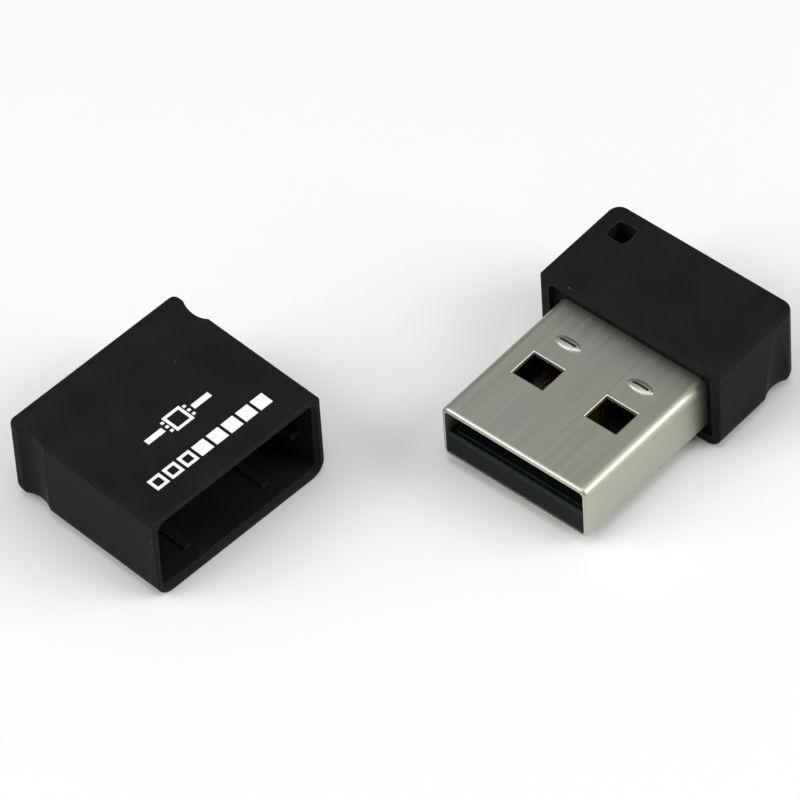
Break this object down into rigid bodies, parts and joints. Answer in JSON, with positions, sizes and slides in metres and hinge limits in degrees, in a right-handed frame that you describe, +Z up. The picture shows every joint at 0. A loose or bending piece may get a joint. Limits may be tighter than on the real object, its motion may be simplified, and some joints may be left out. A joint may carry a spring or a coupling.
{
  "type": "usb flash drive",
  "caption": "Very short USB flash drive with a bare steel plug, a moulded black grip with a necked tail and lanyard eye, and a matching loose cap beside it.",
  "frame": {"origin": "on the table, under the middle of the straight stretch of the grip's underside", "axes": "+X across the drive, -Y along the plug towards its tip, +Z up"},
  "size_m": [0.0332, 0.0394, 0.0071],
  "materials": {
    "shell_plastic": "fine satin moulding",
    "inner_plastic": "plain moulding",
    "plug_steel": "nickel-plated, satin",
    "carrier_plastic": "plain moulding",
    "laminate": "solder mask",
    "epoxy": "moulded epoxy",
    "silicon": "ground silicon",
    "bond_film": "adhesive film",
    "gold": "gold plated",
    "chip_ceramic": "sintered",
    "chip_resistor": "glazed top",
    "white_ink": "pad printed"
  },
  "bodies": {
    "drive": {"housing": "shell_plastic", "plug_holder": "inner_plastic", "plug_shell": "plug_steel", "carrier": "carrier_plastic", "module_board": "laminate", "module_epoxy": "epoxy", "flash_die_upper": "silicon", "die_film": "bond_film", "flash_die_lower": "silicon", "controller_die": "silicon", "contact_power": "gold", "contact_data_minus": "gold", "contact_data_plus": "gold", "contact_ground": "gold", "capacitor_1": "chip_ceramic", "capacitor_2": "chip_ceramic", "capacitor_3": "chip_ceramic", "capacitor_4": "chip_ceramic", "resistor_1": "chip_resistor", "resistor_2": "chip_resistor"},
    "loose_cap": {"cap": "shell_plastic", "cap_print": "white_ink"}
  },
  "joints": [
    {"name": "cap_swing", "type": "hinge", "parent": "drive", "child": "loose_cap", "pos_m": [-0.01281, -0.01363, 0], "axis": [0, 0, 1], "range_deg": [0, 94.2]}
  ]
}
